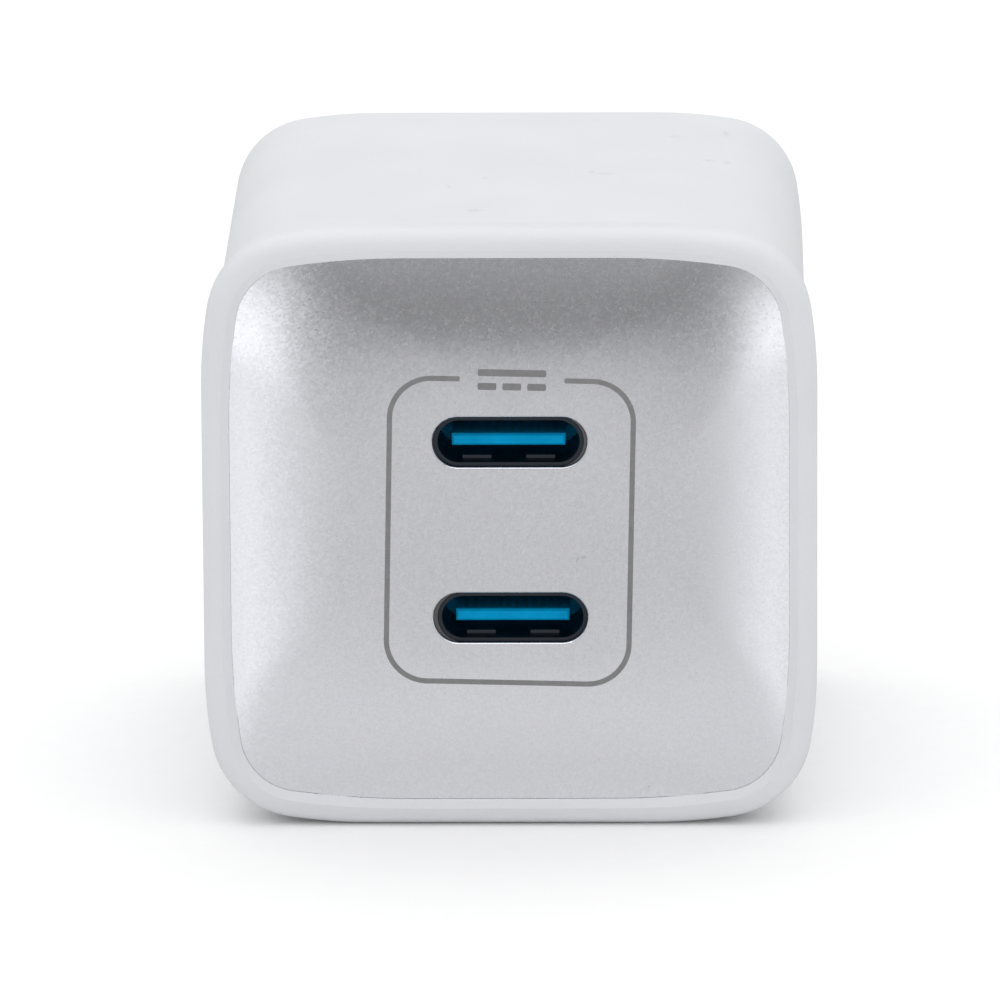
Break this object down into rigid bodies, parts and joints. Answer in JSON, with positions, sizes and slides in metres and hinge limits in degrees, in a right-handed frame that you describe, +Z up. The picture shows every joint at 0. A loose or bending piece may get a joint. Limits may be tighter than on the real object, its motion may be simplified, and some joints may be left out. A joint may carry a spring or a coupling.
{
  "type": "usb-c charger",
  "caption": "White cube USB-C wall charger with a dished silver face, stacked ports in a printed grey outline, and a plug that folds into the rear",
  "frame": {"origin": "bottom centre of the whole, plug folded", "axes": "+Z up, -Y is the port face, +Y is the wall side, +X to the right of the port face"},
  "size_m": [0.0362, 0.035, 0.0362],
  "materials": {
    "white_shell": "satin white moulding",
    "silver_paint": "silver flake paint on a moulded plate",
    "socket_steel": "drawn steel, dark plated",
    "blue_insulator": "blue moulded insulator",
    "contact_plating": "dark plating",
    "plated_brass": "nickel plated",
    "bronze_spring": "rolled bronze strip",
    "plain_steel": "plain",
    "lead_cover": "black covering",
    "board_green": "green solder mask",
    "ferrite": "grey-black ferrite",
    "black_nylon": "black moulding",
    "winding_tape": "yellow tape",
    "copper_wire": "enamelled wire",
    "capacitor_sleeve": "black sleeve",
    "capacitor_can": "bare can",
    "glazed_ceramic": "cream ceramic tube",
    "disc_coating": "blue coating",
    "chip_resin": "black resin",
    "pad_rubber": "grey thermal pad",
    "plain_aluminium": "rolled sheet",
    "insulating_film": "clear film"
  },
  "bodies": {
    "case": {"outer_shell": "white_shell", "rear_cover": "white_shell", "pivot_retainer": "black_nylon", "face_plate": "silver_paint", "upper_port_shell": "socket_steel", "lower_port_shell": "socket_steel", "upper_port_midplate": "socket_steel", "lower_port_midplate": "socket_steel", "upper_port_tongue": "blue_insulator", "lower_port_tongue": "blue_insulator", "upper_port_contacts": "contact_plating", "lower_port_contacts": "contact_plating", "left_contact_spring": "bronze_spring", "right_contact_spring": "bronze_spring", "detent_spring": "plain_steel", "retainer_screws": "plain_steel", "live_lead": "lead_cover", "neutral_lead": "lead_cover", "main_board": "board_green", "port_board": "board_green", "transformer_lower_core": "ferrite", "transformer_upper_core": "ferrite", "choke_core": "ferrite", "output_inductors": "ferrite", "transformer_bobbin": "black_nylon", "transformer_winding": "winding_tape", "choke_winding": "copper_wire", "bulk_capacitor_front": "capacitor_sleeve", "bulk_capacitor_rear": "capacitor_sleeve", "output_capacitors": "capacitor_can", "input_fuse": "glazed_ceramic", "safety_capacitor": "disc_coating", "bridge_rectifier": "chip_resin", "power_chip": "chip_resin", "rectifier_chip": "chip_resin", "port_chips": "chip_resin", "thermal_pad": "pad_rubber", "heat_spreader": "plain_aluminium", "insulation_sheet": "insulating_film"},
    "prongs": {"prong_pivot": "white_shell", "left_blade": "plated_brass", "right_blade": "plated_brass"}
  },
  "joints": [
    {"name": "plug_hinge", "type": "hinge", "parent": "case", "child": "prongs", "pos_m": [0, 0.0139, 0.0255], "axis": [1, 0, 0], "range_deg": [0, 90], "deforming": ["detent_spring"]}
  ]
}
